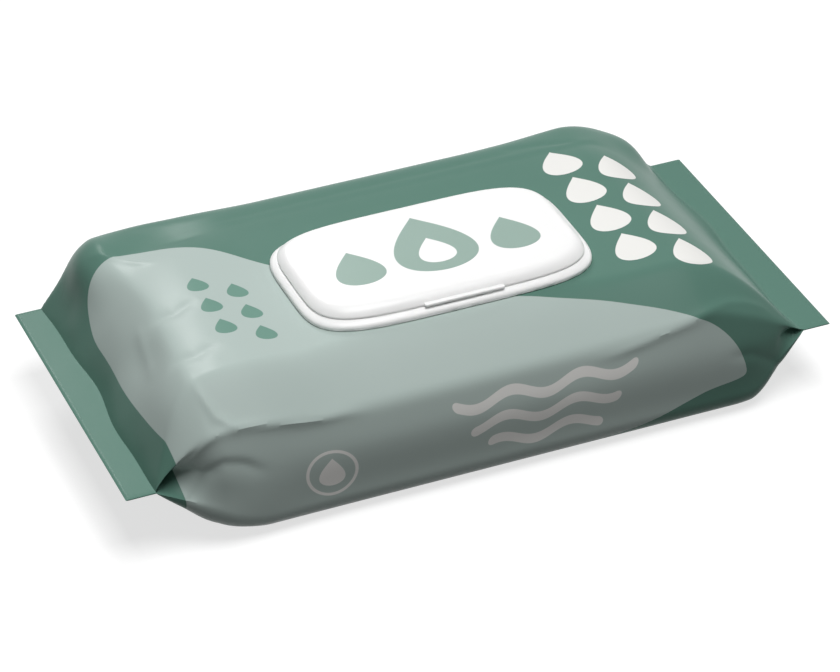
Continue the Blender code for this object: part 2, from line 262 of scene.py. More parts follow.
def dropGrid(tree, along, across, motif):
    # drops in columns, every second column moved by half a step
    wide, high = motif["step"]
    x = calc(tree, "SUBTRACT", along, motif["x"])
    column = calc(tree, "FLOOR", calc(tree, "DIVIDE", x, wide))
    odd = calc(tree, "MODULO", calc(tree, "ABSOLUTE", column), 2.0)
    y = calc(tree, "MULTIPLY_ADD", odd, high / 2, calc(tree, "SUBTRACT", across, motif["y"]))
    row = calc(tree, "FLOOR", calc(tree, "DIVIDE", y, high))
    localX = calc(tree, "MULTIPLY_ADD", column, -wide, calc(tree, "SUBTRACT", x, wide / 2))
    localY = calc(tree, "MULTIPLY_ADD", row, -high, calc(tree, "SUBTRACT", y, high / 2))
    field = drop(tree, localX, localY, {"x": 0.0, "y": 0.0, "turn": motif["turn"], "size": motif["size"]})
    for index, count in ((column, motif["columns"]), (row, motif["rows"])):
        before = calc(tree, "SUBTRACT", count - 0.5, index)
        inside = calc(tree, "MINIMUM", calc(tree, "ADD", index, 0.5), before)
        field = calc(tree, "MINIMUM", field, inside)
    return field


def waveLine(tree, along, across, motif):
    # a wavy band with rounded ends
    swing = calc(tree, "SINE", calc(tree, "MULTIPLY_ADD", along, motif["beat"], motif["shift"]))
    centre = calc(tree, "MULTIPLY_ADD", swing, motif["swing"], motif["y"])
    far = calc(tree, "ABSOLUTE", calc(tree, "SUBTRACT", along, motif["x"]))
    beyond = calc(tree, "MAXIMUM", calc(tree, "SUBTRACT", far, motif["reach"]), 0.0)
    off = calc(tree, "SUBTRACT", across, centre)
    square = calc(tree, "MULTIPLY_ADD", beyond, beyond, calc(tree, "MULTIPLY", off, off))
    return calc(tree, "SUBTRACT", motif["size"], calc(tree, "SQRT", square))


def ring(tree, along, across, motif):
    field = disc(tree, along, across, motif)
    middle = calc(tree, "SUBTRACT", field, motif["line"] / 2)
    return calc(tree, "SUBTRACT", motif["line"] / 2, calc(tree, "ABSOLUTE", middle))


def joinMotifs(tree, fields):
    result = fields[0]
    for field in fields[1:]:
        result = calc(tree, "MAXIMUM", result, field)
    return result


# Film pack: one sheet wrapped round the stack, drawn together at both ends into flat fins

film = {
    "finDepth": 0.010,
    "finWidth": 0.112,
    "finThickness": 0.0006,
    "finHeight": 0.0243,
    "finWave": 0.0009,  # how far the line behind a fin wanders
    "finBeats": (75, 160),
    "levelPast": (0.0013, 0.0005),  # how far the film stays level past the closure, along and across
    "levelMost": 0.94,  # share of the top's half width that is level at most
    "levelPatch": (0.0505, 0.031),  # half length and half width of the film that the folds leave alone
    "levelFade": 0.12,
    "leftRise": 0.0026,
    "leftFall": (0.002, 0.042),  # where that rise starts to go towards the back, and over what width
    "rightRise": 0.0014,
    "backRise": 0.0005,
    "leftRidge": 0.0192,  # fin line to the left ridge of the top, at the pack's middle
    "leftSkew": 0.068,  # the ridge runs further in towards the back
    "leftPanel": (0.0312, 0.030, 1.9),  # height, depth and fullness of the end panel, as if it went on
    "leftCrown": (0.034, 9.6),  # where the top starts to bend down to the ridge, and how strongly
    "ridgeSoftness": 0.0003,
    "rightRidge": 0.037,
    "rightFullness": 1.8,
    "rightFillet": 0.0020,
    "leftUnderside": 0.036,
    "rightUnderside": 0.018,
    "undersideFullness": 1.7,
    "endsFrom": (0.035, 0.050),  # where the values for the ends set in, and over what length
    # pairs are for the middle and for the ends; the front edge is a slope with a crease at its foot
    "frontRun": (0.0220, 0.0165),
    "frontDrop": (0.0128, 0.0103),
    "frontBend": 0.30,  # share of the slope over which it sets in
    "frontLean": 0.0010,  # how far the side's upper edge stays behind its middle
    "leanFade": 2.2,
    "frontRounding": (7, 3),  # rounds of smoothing at the crease
    "roundingReach": 7.0,  # in points of the section
    "backRun": (0.017, 0.017),
    "backDrop": (0.0170, 0.0135),
    "backTurn": (2.5, 4.2),  # exponent of the back edge's curve
    "sideBulge": 0.0011,
    "bulgeReach": 0.03,
    "footRadius": 0.009,
    "fadeReach": 0.024,  # over which the pack's sides draw in to the width of the fins
    "leftTuck": (0.0115, 0.022),  # how deep the side folds in behind a fin, and how far along it fades out
    "rightTuck": (0.0045, 0.011),
    "tuckArch": (-0.0915, 0.011, 0.0045),  # the left fold's valley bows up: place, half length, height
    "linePoints": 60,  # of each stretch of a section, before its points are spread evenly
    "alongSteps": 240,
    "endCrowding": 0.10,  # how much closer together the sections stand towards the fins
    "faceSteps": 72,  # half of the top, and half of the underside
    "sideSteps": 26,
}

finLine = (packHigh.x - packLow.x) / 2 - film["finDepth"]
flatEndX = (baseHigh.x - baseLow.x) / 2 + film["levelPast"][0]
flatEndY = abs(baseLow.y) + film["levelPast"][1]


def ease(share):
    share = np.clip(share, 0.0, 1.0)
    return share * share * (3.0 - 2.0 * share)


def endProfile(share, fullness):
    return 1.0 - (1.0 - np.clip(share, 0.0, 1.0)) ** fullness


def softLower(first, second, softness):
    # the lower of two heights, with a small round where they cross
    lower = np.minimum(first, second)
    both = np.exp((lower - first) / softness) + np.exp((lower - second) / softness)
    return lower - softness * np.log(both)


def topHeight(x, y):
    # the top between the shoulders: level under the closure, then over a ridge and down to the fin
    lowest = film["finHeight"] + film["finThickness"] / 2
    behind = max(finLine - abs(x), 0.0)
    if x >= 0:
        inset, fillet = film["rightRidge"], film["rightFillet"]
        crown = panelZ + film["rightRise"] * ease((x - flatEndX) / (finLine - inset - flatEndX))
        reach = (math.hypot(behind, fillet) - fillet) / (inset - fillet)
        return lowest + (crown - lowest) * endProfile(reach, film["rightFullness"])
    height, depth, fullness = film["leftPanel"]
    bendAt, bend = film["leftCrown"]
    ridge = film["leftRidge"] + film["leftSkew"] * y
    behind = behind * film["leftRidge"] / ridge
    panel = lowest + height * endProfile(behind / depth, fullness)
    fallAt, fallSpan = film["leftFall"]
    rise = film["leftRise"] * (1 - ease((y - fallAt) / fallSpan))
    crown = panelZ + rise * ease((-x - flatEndX) / (finLine - bendAt - flatEndX))
    crown = crown - bend * np.maximum(bendAt - behind, 0.0) ** 2
    return np.maximum(softLower(panel, crown, film["ridgeSoftness"]), lowest)


def bottomHeight(x):
    inset = film["leftUnderside"] if x < 0 else film["rightUnderside"]
    highest = film["finHeight"] - film["finThickness"] / 2
    return highest * (1.0 - endProfile((finLine - abs(x)) / inset, film["undersideFullness"]))


def evenly(points, count):
    # the same line with its points spread evenly along it
    steps = np.hypot(*np.diff(points, axis=0).T)
    gone = np.concatenate(([0.0], np.cumsum(steps)))
    places = np.linspace(0.0, gone[-1], count)
    return np.stack([np.interp(places, gone, points[:, axis]) for axis in range(2)], axis=1), places


def between(pair, share):
    return pair[0] + (pair[1] - pair[0]) * share


def relax(line, middle, rounds):
    # smooths a line of points near one of them
    near = np.exp(-(((np.arange(len(line)) - middle) / film["roundingReach"]) ** 2))[1:-1, None]
    for _ in range(rounds):
        line[1:-1] += near * ((line[:-2] + line[2:]) / 2 - line[1:-1]) * 0.5
    return line


def halfSection(x, side, rise, tip):
    # (out, up) and the way gone, from the middle of the top over the side to the middle of the underside
    count = film["linePoints"]
    behind = finLine - abs(x)
    wide = (packHigh.y - packLow.y - film["finWidth"]) * ease(behind / film["fadeReach"])
    width = (film["finWidth"] + wide) / 2
    middle, bottom = film["finHeight"], bottomHeight(x)
    endsFrom, endsSpan = film["endsFrom"]
    nearEnd = float(ease((abs(x) - endsFrom) / endsSpan))
    isFront = side < 0
    run = between(film["frontRun" if isFront else "backRun"], nearEnd)
    sink = between(film["frontDrop" if isFront else "backDrop"], nearEnd)
    top = float(topHeight(x, side * (width - run)))
    share = max((top - middle) / (panelZ - middle), 0.0)
    run, fall, lift = run * share, sink * share, rise * share
    lean = film["frontLean"] * min(share, 1.0) if isFront else 0.0
    edge = width - lean - run  # where the shoulder starts
    flat = min(flatEndY * min(share, 1.0), film["levelMost"] * edge)
    out = np.linspace(0.0, edge, count)
    level = topHeight(x, side * out) + lift * ease((out - flat) / (edge - flat))
    level += (top + lift - level[-1]) * ease(out / edge)
    step = np.linspace(0.0, 1.0, count)
    angle = step * math.pi / 2
    if isFront:
        bend = film["frontBend"]
        outwards, down = step, (np.hypot(step, bend) - bend) / (math.hypot(1, bend) - bend)
    else:
        outwards, down = np.sin(angle), 1 - np.cos(angle) ** (2 / between(film["backTurn"], nearEnd))
    over = np.stack([edge + run * outwards, top + lift - (fall + lift) * down], axis=1)
    foot = min(film["footRadius"], (middle - bottom) / 2)
    depth, reach = film["leftTuck"] if x < 0 else film["rightTuck"]
    tuck = depth * (1 - ease(behind / reach)) if behind > 0 else 0.0
    archAt, archReach, archHeight = film["tuckArch"]
    valley = middle + archHeight * math.exp(-(((x - archAt) / archReach) ** 2))
    if tip:
        level, top, fall, bottom, foot, valley = np.full(count, middle), middle, 0.0, middle, 0.0, middle
        over[:, 1] = middle
    topLine = np.concatenate([np.stack([out, level], axis=1), over[1:]])
    topLine, topRun = evenly(topLine, film["faceSteps"] + 1)
    share = np.linspace(0.0, 1.0, count + 1)
    valley = min(max(valley, bottom + foot), top - fall)
    upper = top - fall + (valley - top + fall) * 2 * share
    lower = valley + (bottom + foot - valley) * (2 * share - 1)
    inward = tuck * (1 - np.abs(2 * share - 1)) + lean * np.maximum(1 - film["leanFade"] * share, 0.0) ** 2
    full = film["sideBulge"] * ease(behind / film["bulgeReach"]) * np.sin(math.pi * share) ** 2
    upright = np.stack([width - inward + full, np.where(share < 0.5, upper, lower)], axis=1)
    upright, uprightRun = evenly(upright, film["sideSteps"] + 1)
    under = np.stack([width - foot * (1 - np.cos(angle)), bottom + foot * (1 - np.sin(angle))], axis=1)
    flatUnder = np.stack([np.linspace(width - foot, 0, count), np.full(count, bottom)], axis=1)
    under = np.concatenate([under, flatUnder[1:]])
    under, underRun = evenly(under, film["faceSteps"] + 1)
    line = np.concatenate([topLine, upright[1:], under[1:]])
    gone = np.concatenate([topRun, topRun[-1] + uprightRun[1:], topRun[-1] + uprightRun[-1] + underRun[1:]])
    if isFront and not tip:
        line = relax(line, film["faceSteps"], round(between(film["frontRounding"], nearEnd)))
    return line, gone


def filmStations():
    # where the sections stand along the pack, one of them on each fin's line
    count = film["alongSteps"]
    share = np.linspace(-1.0, 1.0, count + 1)
    places = packHigh.x * (share + film["endCrowding"] * np.sin(math.pi * share))
    for line in (-finLine, finLine):
        places[np.argmin(np.abs(places - line))] = line
    places[0], places[-1] = packLow.x, packHigh.x
    return places


def filmSkin():
    # place of every point of the sheet, and where it lies on the flat sheet: (along, across)
    places, flats = [], []
    stations = filmStations()
    tops = np.array([float(topHeight(x, 0.0)) for x in stations])
    steps = np.hypot(np.diff(stations), np.diff(tops))
    along = np.concatenate(([0.0], np.cumsum(steps)))
    along -= np.interp(0.0, stations, along)
    for index, x in enumerate(stations):
        tip = index in (0, len(stations) - 1)
        front, frontRun = halfSection(x, -1, 0.0, tip)
        back, backRun = halfSection(x, 1, film["backRise"], tip)
        out = np.concatenate([-front[::-1, 0], back[1:, 0]])
        up = np.concatenate([front[::-1, 1], back[1:, 1]])
        across = np.concatenate([-frontRun[::-1], backRun[1:]])
        places.append(np.stack([np.full(len(out), x), out, up], axis=1))
        flats.append(np.stack([np.full(len(out), along[index]), across], axis=1))
    return np.array(places), np.array(flats)


def outward(places):
    alongWay = np.gradient(places, axis=0)
    roundWay = np.gradient(places, axis=1)
    normal = np.cross(alongWay, roundWay)
    size = np.linalg.norm(normal, axis=2, keepdims=True)
    return normal / np.maximum(size, 1e-12)


# Folds and swells, as (along, across) on the flat sheet in millimetres from the middle of the top

folds = [
    {"name": "back lip", "path": [(-80, 43), (-40, 43), (10, 43.5), (50, 44), (76, 42)],
     "width": 4.0, "height": -0.9},
    {"name": "back right crease", "path": [(46, 47), (62, 45), (78, 40)], "width": 1.8, "height": -0.35},
    {"name": "back left line", "path": [(-97, 44), (-92, 38), (-86, 31), (-80, 26)],
     "width": 1.3, "height": 0.5},
    {"name": "left side arch", "path": [(-112, -82), (-104, -79), (-97, -73), (-90, -71.5), (-83, -74),
                                        (-74, -80)],
     "width": 2.4, "height": -0.75, "lopsided": 0.5},
    {"name": "left corner down", "path": [(-81, -62), (-90, -61.5), (-98.4, -62.7), (-106, -65), (-112, -68)],
     "width": 1.5, "height": 0.5},
    {"name": "left front edge", "path": [(-93, -36), (-92.5, -46), (-89.5, -56), (-84.5, -61.5), (-74, -62.7),
                                         (-64, -63.3), (-50, -62.5), (-38, -63)],
     "width": 1.5, "height": 0.75},
    {"name": "right front edge", "path": [(30, -65.5), (43, -65), (58, -63.3), (69, -62.5), (76, -60.6),
                                          (83, -58.3), (89, -57.3), (100, -56), (110, -57)],
     "width": 1.7, "height": 0.6},
    {"name": "left ridge pinch", "path": [(-76, -1), (-85, -6), (-95, -4)], "width": 2.6, "height": -0.5},
    {"name": "left ridge front pinch", "path": [(-78, -27), (-87, -31), (-98, -28)],
     "width": 2.8, "height": -0.5},
    {"name": "left panel crease", "path": [(-97, 2), (-101, -12), (-104, -26)], "width": 2.4, "height": 0.35},
    {"name": "right side faint crease", "path": [(116, -76), (104, -74), (92, -75), (80, -79)],
     "width": 2.0, "height": -0.4},
]

swells = [
    {"name": "lower left side", "at": (-84, -93), "reach": (20, 10), "height": 1.3},
    {"name": "back left corner", "at": (-99, 43), "reach": (10, 14), "height": 4.4},
    {"name": "back left top", "at": (-74, 44), "reach": (13, 10), "height": -2.3},
    {"name": "back right top", "at": (73, 46), "reach": (15, 12), "height": -2.3},
    {"name": "back right corner", "at": (99, 45), "reach": (7, 10), "height": 2.0},
    {"name": "left panel, front", "at": (-104, -40), "reach": (9, 16), "height": 0.9},
    {"name": "left panel hollow", "at": (-103, -14), "reach": (7, 10), "height": -0.9},
    {"name": "right top", "at": (92, 10), "reach": (14, 22), "height": -0.6},
]

ripples = {
    "seed": 4.0,
    "height": 0.00022,
    "size": 0.026,
    "taut": 0.35,  # share of the ripples that is left in the middle, where the film is drawn tight
    "looseFrom": (0.045, 0.045),  # where they grow to the full, and over what length
    "gather": 0.00045,
    "gatherSize": 0.010,
    "gatherReach": 0.011,
}


def alongPath(flats, path):
    # distance to the path, share of its length, and the side: above 0 on its left
    path = np.array(path) * 0.001
    spans = np.linalg.norm(np.diff(path, axis=0), axis=1)
    gone = np.concatenate(([0.0], np.cumsum(spans)))
    nearest = np.full(flats.shape[:2], 1e9)
    share, side = np.zeros_like(nearest), np.zeros_like(nearest)
    for start, end, span, before in zip(path, path[1:], spans, gone):
        way = (end - start) / span
        off = flats - start
        reach = np.clip(off @ way, 0.0, span)
        off = off - reach[..., None] * way
        distance = np.linalg.norm(off, axis=2)
        closer = distance < nearest
        nearest = np.where(closer, distance, nearest)
        share = np.where(closer, (before + reach) / gone[-1], share)
        side = np.where(closer, way[0] * off[..., 1] - way[1] * off[..., 0], side)
    return nearest, share, np.sign(side)


def foldHeight(flats, fold):
    # a ridge or a groove along the path, which sets in and fades out over a quarter of its length
    distance, share, side = alongPath(flats, fold["path"])
    width = fold["width"] * 0.001 * (1 - fold.get("lopsided", 0.0) * side)
    fade = ease(share / 0.25) * ease((1 - share) / 0.25)
    return fold["height"] * 0.001 * fade * np.exp(-((distance / width) ** 1.5))


def swellHeight(flats, swell):
    off = (flats * 1000 - np.array(swell["at"])) / np.array(swell["reach"])
    return swell["height"] * 0.001 * np.exp(-(off ** 2).sum(axis=2))


def clearOfClosure(places):
    # 0 under the closure and 1 a little way outside it, so that it lies flat on the film
    halfLength, halfWidth = film["levelPatch"]
    far = np.abs(places[..., 0] - middleX) ** 4 / halfLength ** 4
    far = far + np.abs(places[..., 1] - middleY) ** 4 / halfWidth ** 4
    clear = ease((far ** 0.25 - 1.0) / film["levelFade"])
    return np.where(places[..., 2] > film["finHeight"], clear, 1.0)


def rippleHeight(places):
    # slow ripples all over, and gathers that run in from the fins
    result = np.zeros(places.shape[:2])
    looseFrom, looseSpan = ripples["looseFrom"]
    for row in range(places.shape[0]):
        behind = finLine - abs(places[row, 0, 0])
        if behind < 0:
            continue
        gather = ripples["gather"] * math.exp(-behind / ripples["gatherReach"]) * float(ease(behind / 0.003))
        loose = between((ripples["taut"], 1.0), float(ease((abs(places[row, 0, 0]) - looseFrom) / looseSpan)))
        for column in range(places.shape[1]):
            x, y, z = places[row, column]
            spot = Vector((x, y, z + ripples["seed"])) / ripples["size"]
            lines = Vector((ripples["seed"] + 0.4 * x / ripples["size"], y / ripples["gatherSize"], z * 20))
            result[row, column] = ripples["height"] * loose * noise.noise(spot) + gather * noise.noise(lines)
    return result


def sculpt(places, flats):
    height = rippleHeight(places)
    for fold in folds:
        height = height + foldHeight(flats, fold)
    for swell in swells:
        height = height + swellHeight(flats, swell)
    behind = finLine - np.abs(places[..., 0])
    height = height * clearOfClosure(places) * ease(behind / 0.004)  # the fins stay flat, too
    height = height * ease((places[..., 2] - 0.0005) / 0.006)  # the underside stays flat
    places = places + outward(places) * height[..., None]
    slow, quick = film["finBeats"]  # the line behind each fin wanders along the pack
    wander = np.sin(places[..., 1] * slow + 0.8)
    wander = wander + 0.5 * np.sin(places[..., 1] * quick - np.sign(places[..., 0]))
    nearLine = np.exp(-((behind / 0.006) ** 2)) * ease((0.012 - np.abs(behind)) / 0.004) * (behind > -0.009)
    places[..., 0] += film["finWave"] * wander * nearLine
    return places


def buildFilm():
    places, flats = filmSkin()
    places = sculpt(places, flats)
    rows, columns = places.shape[:2]
    bpy.ops.mesh.primitive_grid_add(x_subdivisions=rows - 1, y_subdivisions=columns - 1, size=1)
    skin = bpy.context.object
    skin.name = "wrapped_film"
    mesh = skin.data
    spots = np.empty(len(mesh.vertices) * 3)
    mesh.vertices.foreach_get("co", spots)
    spots = spots.reshape(-1, 3)
    row = np.rint((spots[:, 0] + 0.5) * (rows - 1)).astype(int)
    column = np.rint((spots[:, 1] + 0.5) * (columns - 1)).astype(int)
    mesh.vertices.foreach_set("co", places[row, column].ravel())
    corners = np.empty(len(mesh.loops), dtype=int)
    mesh.loops.foreach_get("vertex_index", corners)
    sheet = flats[row, column][corners] * sheetScale + 0.5
    mesh.uv_layers[0].data.foreach_set("uv", sheet.ravel())
    mesh.uv_layers[0].name = "flatSheet"
    bpy.ops.object.mode_set(mode="EDIT")
    bpy.ops.mesh.select_all(action="SELECT")
    bpy.ops.mesh.remove_doubles(threshold=1e-6)  # the long seam, and the tips of the fins
    bpy.ops.object.mode_set(mode="OBJECT")
    bpy.ops.object.shade_smooth_by_angle(angle=math.radians(32))
    bpy.ops.object.select_all(action="DESELECT")
    return skin


sheetScale = 2.5  # the flat sheet in metres, shrunk to lie inside the UV square

printDesign = {
    "green": (0.101, 0.206, 0.165),
    "pale": (0.424, 0.503, 0.476),
    "cream": (0.80, 0.795, 0.77),
    "mark": (0.150, 0.285, 0.233),
    "edge": 0.0001,  # half the width of the soft step at a printed edge
    # the pale field's upper edge, as (along, across) on the flat sheet in millimetres
    "fieldEdge": [(-117, -2), (-109, 29), (-97, 35.5), (-81, 37), (-66, 31), (-47, 11), (-14, -24), (25, -40),
                  (48, -48.5), (70, -61), (87, -75), (94, -90)],
    "edgeSpan": 0.24,  # the length of sheet that the edge is worked out over
    "leftMargin": -0.1145,  # the field's left end, and its bow
    "marginBow": 1.2,
    "lobeAt": -0.081,  # the field's right end is a lobe: its tip across and along, and its bow
    "lobe": 0.0905,
    "lobeBow": -175.0,
    "cornerRound": 0.008,
}


printMotifs = {
    "cream": [
        (dropGrid, {"x": 0.0550, "y": -0.0360, "step": (0.0160, 0.0190), "columns": 2, "rows": 4, "turn": 90,
                    "size": 0.0068}),
        *[
            (waveLine, {"x": 0.018, "y": -0.0700 - 0.0085 * row, "reach": reach, "beat": 260, "swing": 0.0019,
                        "shift": 0.5 * row, "size": 0.0019})
            for row, reach in enumerate((0.030, 0.024, 0.018))
        ],
        (ring, {"x": -0.0545, "y": -0.0830, "size": 0.0088, "line": 0.0011}),
        (drop, {"x": -0.0545, "y": -0.0825, "turn": 90, "size": 0.0045}),
    ],
    "mark": [
        (dropGrid, {"x": -0.0790, "y": -0.0260, "step": (0.0110, 0.0130), "columns": 2, "rows": 3, "turn": 90,
                    "size": 0.0036}),
    ],
}


def edgeCurve(tree, along):
    # the height of the pale field's upper edge, from its few points
    span = printDesign["edgeSpan"]
    node = tree.nodes.new("ShaderNodeFloatCurve")
    curve = node.mapping.curves[0]
    spots = [(x * 0.001 / span + 0.5, y * 0.001 / span + 0.5) for x, y in printDesign["fieldEdge"]]
    curve.points[0].location, curve.points[1].location = spots[0], spots[-1]
    for x, y in spots[1:-1]:
        curve.points.new(x, y)
    node.mapping.update()
    feed(tree, node.inputs["Value"], calc(tree, "MULTIPLY_ADD", along, 1 / span, 0.5))
    return calc(tree, "MULTIPLY_ADD", node.outputs["Value"], span, -span / 2)


def makeFilmMaterial():
    material, tree, shader = newMaterial("printedFilm")
    sheet = tree.nodes.new("ShaderNodeUVMap")
    sheet.uv_map = "flatSheet"
    parts = tree.nodes.new("ShaderNodeSeparateXYZ")
    tree.links.new(sheet.outputs["UV"], parts.inputs["Vector"])
    along = calc(tree, "MULTIPLY_ADD", parts.outputs["X"], 1 / sheetScale, -0.5 / sheetScale)
    across = calc(tree, "MULTIPLY_ADD", parts.outputs["Y"], 1 / sheetScale, -0.5 / sheetScale)
    edge = printDesign["edge"]
    crest = edgeCurve(tree, along)
    field = calc(tree, "SUBTRACT", crest, across)
    square = calc(tree, "MULTIPLY", across, across)
    margin = calc(tree, "MULTIPLY_ADD", square, printDesign["marginBow"], printDesign["leftMargin"])
    inside = calc(tree, "SUBTRACT", along, margin)
    field = calc(tree, "SMOOTH_MIN", field, inside, printDesign["cornerRound"])
    below = calc(tree, "MAXIMUM", calc(tree, "SUBTRACT", printDesign["lobeAt"], across), 0.0)
    square = calc(tree, "MULTIPLY", below, below)
    lobe = calc(tree, "MULTIPLY_ADD", square, printDesign["lobeBow"], printDesign["lobe"])
    inside = calc(tree, "SUBTRACT", lobe, along)
    field = calc(tree, "SMOOTH_MIN", field, inside, printDesign["cornerRound"])
    colour = mixColour(tree, edgeMask(tree, field, edge), printDesign["green"], printDesign["pale"])
    for name in ("mark", "cream"):
        motifs = [draw(tree, along, across, motif) for draw, motif in printMotifs[name]]
        colour = mixColour(tree, edgeMask(tree, joinMotifs(tree, motifs), edge), colour, printDesign[name])
    tree.links.new(colour, shader.inputs["Base Color"])
    place = tree.nodes.new("ShaderNodeTexCoord").outputs["Object"]
    wear = noiseOf(tree, place, 60.0, 4.0)
    tree.links.new(spread(tree, wear, 0.25, 0.36), shader.inputs["Roughness"])
    shader.inputs["IOR"].default_value = 1.14
    bumpOf(tree, shader, noiseOf(tree, place, 140.0, 3.0), 0.08, 0.0006)
    return material


# Closure: rings of one outline, each pulled out of the one before

closure = {
    "length": baseHigh.x - baseLow.x,
    "width": 0.0590,
    "roundness": 4.6,  # exponent of the outline: 2 is an ellipse, more is squarer
    "wall": 0.0011,
    "edgeHeight": 0.0008,
    "seamHeight": 0.0026,
    "wallLean": 0.0021,
    "wallTurn": 26.0,  # degrees that the base's wall has turned inwards at the seam
    "lidFit": 0.00064,
    "upstandHeight": 0.0034,
    "draft": 0.0002,
    "deck": 0.0012,
    "openingLength": 0.0660,
    "openingWidth": 0.0300,
    "openingRoundness": 3.2,
    "collar": 0.0010,
    "collarHeight": 0.0037,
    "lidLip": 0.0005,
    "lidSlope": 0.0042,
    "lidFullness": 2.4,
    "lidHeight": 0.0060,
    "lidCrown": 0.0005,
    "plug": 0.0009,
    "plugFit": 0.0005,
    "tabWidth": 0.0270,
    "tabInset": 0.0009,
    "tabThickness": 0.0010,
    "hingeWidth": 0.0520,
    "hingeGap": 0.00015,
    "beadLength": 0.0160,
    "beadRadius": 0.00045,
    "tabRound": 0.00035,
    "edgeRound": 0.00012,
    # painted light: the base is set a little whiter than the lid, though both are the same plastic, so that
    # its steep walls, which the lamps light less, look as bright as the lid
    "baseColourPaintedLight": (0.95, 0.95, 0.945),
    "lidColour": (0.91, 0.91, 0.905),
    "outlinePoints": 176,
    "arcSteps": 8,
    "slopeSteps": 12,
    "crownSteps": 12,
}

middleX = (baseLow.x + baseHigh.x) / 2
middleY = baseLow.y + closure["width"] / 2
rearEdge = middleY + closure["width"] / 2
seamZ = baseLow.z + closure["seamHeight"]
skirtHeight = closure["seamHeight"] + touch


def outline(length, width, roundness, height):
    # a rounded outline with bowed sides, its points spread evenly
    angle = np.linspace(0.0, 2 * math.pi, 3601)
    cos, sin = np.cos(angle), np.sin(angle)
    x = np.sign(cos) * np.abs(cos) ** (2 / roundness) * length / 2
    y = np.sign(sin) * np.abs(sin) ** (2 / roundness) * width / 2
    spots, _ = evenly(np.stack([x, y], axis=1), closure["outlinePoints"] + 1)
    return [Vector((middleX + x, middleY + y, baseLow.z + height)) for x, y in spots[:-1]]


def closureRing(inset, height, scale=1.0):
    length, width = closure["length"] - 2 * inset, closure["width"] - 2 * inset
    return outline(length * scale, width * scale, closure["roundness"], height)


def openingRing(outset, height, scale=1.0):
    length, width = closure["openingLength"] + 2 * outset, closure["openingWidth"] + 2 * outset
    return outline(length * scale, width * scale, closure["openingRoundness"], height)


def cornerRank(element):
    corners = [vertex.index for vertex in element.verts]
    return min(corners) * 1e6 + max(corners)


def pullRings(name, rings, closed):
    # a circle laid on the first ring, then extruded from ring to ring
    bpy.ops.mesh.primitive_circle_add(vertices=len(rings[0]), radius=1, fill_type="NOTHING")
    piece = bpy.context.object
    piece.name = name
    for vertex, place in zip(piece.data.vertices, rings[0]):
        vertex.co = place
    bpy.ops.object.mode_set(mode="EDIT")
    bpy.ops.mesh.select_mode(type="VERT")
    bpy.ops.mesh.select_all(action="SELECT")
    for before, after in zip(rings, rings[1:]):
        bpy.ops.mesh.extrude_edges_move()
        mesh = bmesh.from_edit_mesh(piece.data)
        start = np.array(before)
        for vertex in [vertex for vertex in mesh.verts if vertex.select]:
            nearest = int(np.argmin(((start - np.array(vertex.co)) ** 2).sum(axis=1)))
            vertex.co = after[nearest]
        bmesh.update_edit_mesh(piece.data)
    bpy.ops.mesh.select_all(action="DESELECT")
    bpy.ops.mesh.select_non_manifold()
    if closed:
        bpy.ops.mesh.bridge_edge_loops()
    else:
        bpy.ops.mesh.fill_holes(sides=0)
    bpy.ops.mesh.select_all(action="SELECT")
    bpy.ops.mesh.normals_make_consistent(inside=False)
    mesh = bmesh.from_edit_mesh(piece.data)
    mesh.verts.index_update()
    for elements in (mesh.edges, mesh.faces):  # extruding leaves these in another order on each run
        elements.sort(key=cornerRank)
    bmesh.update_edit_mesh(piece.data)
    bpy.ops.object.mode_set(mode="OBJECT")
    bpy.ops.object.select_all(action="DESELECT")
    return piece


def lidProfile(depth):
    # (inset, height) of the lid's side from its lower edge to its top, a depth below the outer surface
    lean, lip, start = closure["wallLean"], closure["lidLip"], skirtHeight
    rise = closure["lidHeight"] - start - lip
    shares = [(step / closure["slopeSteps"]) ** 1.5 for step in range(closure["slopeSteps"] + 1)]
    line = []
    for share in shares:
        height = start + lip + rise * endProfile(share, closure["lidFullness"])
        line.append((lean + closure["lidSlope"] * share, height))
    result = [(lean + depth, start)]
    for index, (inset, height) in enumerate(line):
        before, after = line[max(index - 1, 0)], line[min(index + 1, len(line) - 1)]
        angle = math.atan2(after[1] - before[1], after[0] - before[0]) if index < len(line) - 1 else 0.0
        inset, height = inset + depth * math.sin(angle), height - depth * math.cos(angle)
        if inset > result[-1][0] and height > result[-1][1] + 0.00002 or not depth:
            result.append((inset, height))
    return result


def makeBlock(name, low, high, soften):
    # a box between two corners, its edges rounded
    size, centre = Vector(high) - Vector(low), (Vector(high) + Vector(low)) / 2
    bpy.ops.mesh.primitive_cube_add(size=1, location=centre, scale=size)
    block = bpy.context.object
    block.name = name
    bpy.ops.object.transform_apply(location=True, rotation=True, scale=True)
    if soften:
        bpy.ops.object.mode_set(mode="EDIT")
        bpy.ops.mesh.select_all(action="SELECT")
        bpy.ops.mesh.bevel(offset=soften, segments=4, affect="EDGES")
        bpy.ops.object.mode_set(mode="OBJECT")
    bpy.ops.object.select_all(action="DESELECT")
    return block


def makeRod(name, middle, length, radius):
    # a rod along the pack's length
    bpy.ops.mesh.primitive_cylinder_add(
        vertices=24, radius=radius, depth=length, location=middle, rotation=(0, math.pi / 2, 0)
    )
    rod = bpy.context.object
    rod.name = name
    bpy.ops.object.transform_apply(location=True, rotation=True, scale=True)
    bpy.ops.object.select_all(action="DESELECT")
    return rod


def joinTo(piece, other, operation="UNION"):
    step = piece.modifiers.new("join", "BOOLEAN")
    step.operation = operation
    step.solver = "EXACT"
    step.object = other
    applyLast(piece)
    bpy.data.objects.remove(other, do_unlink=True)


def applyLast(piece):
    bpy.context.view_layer.objects.active = piece
    bpy.ops.object.modifier_apply(modifier=piece.modifiers[-1].name)


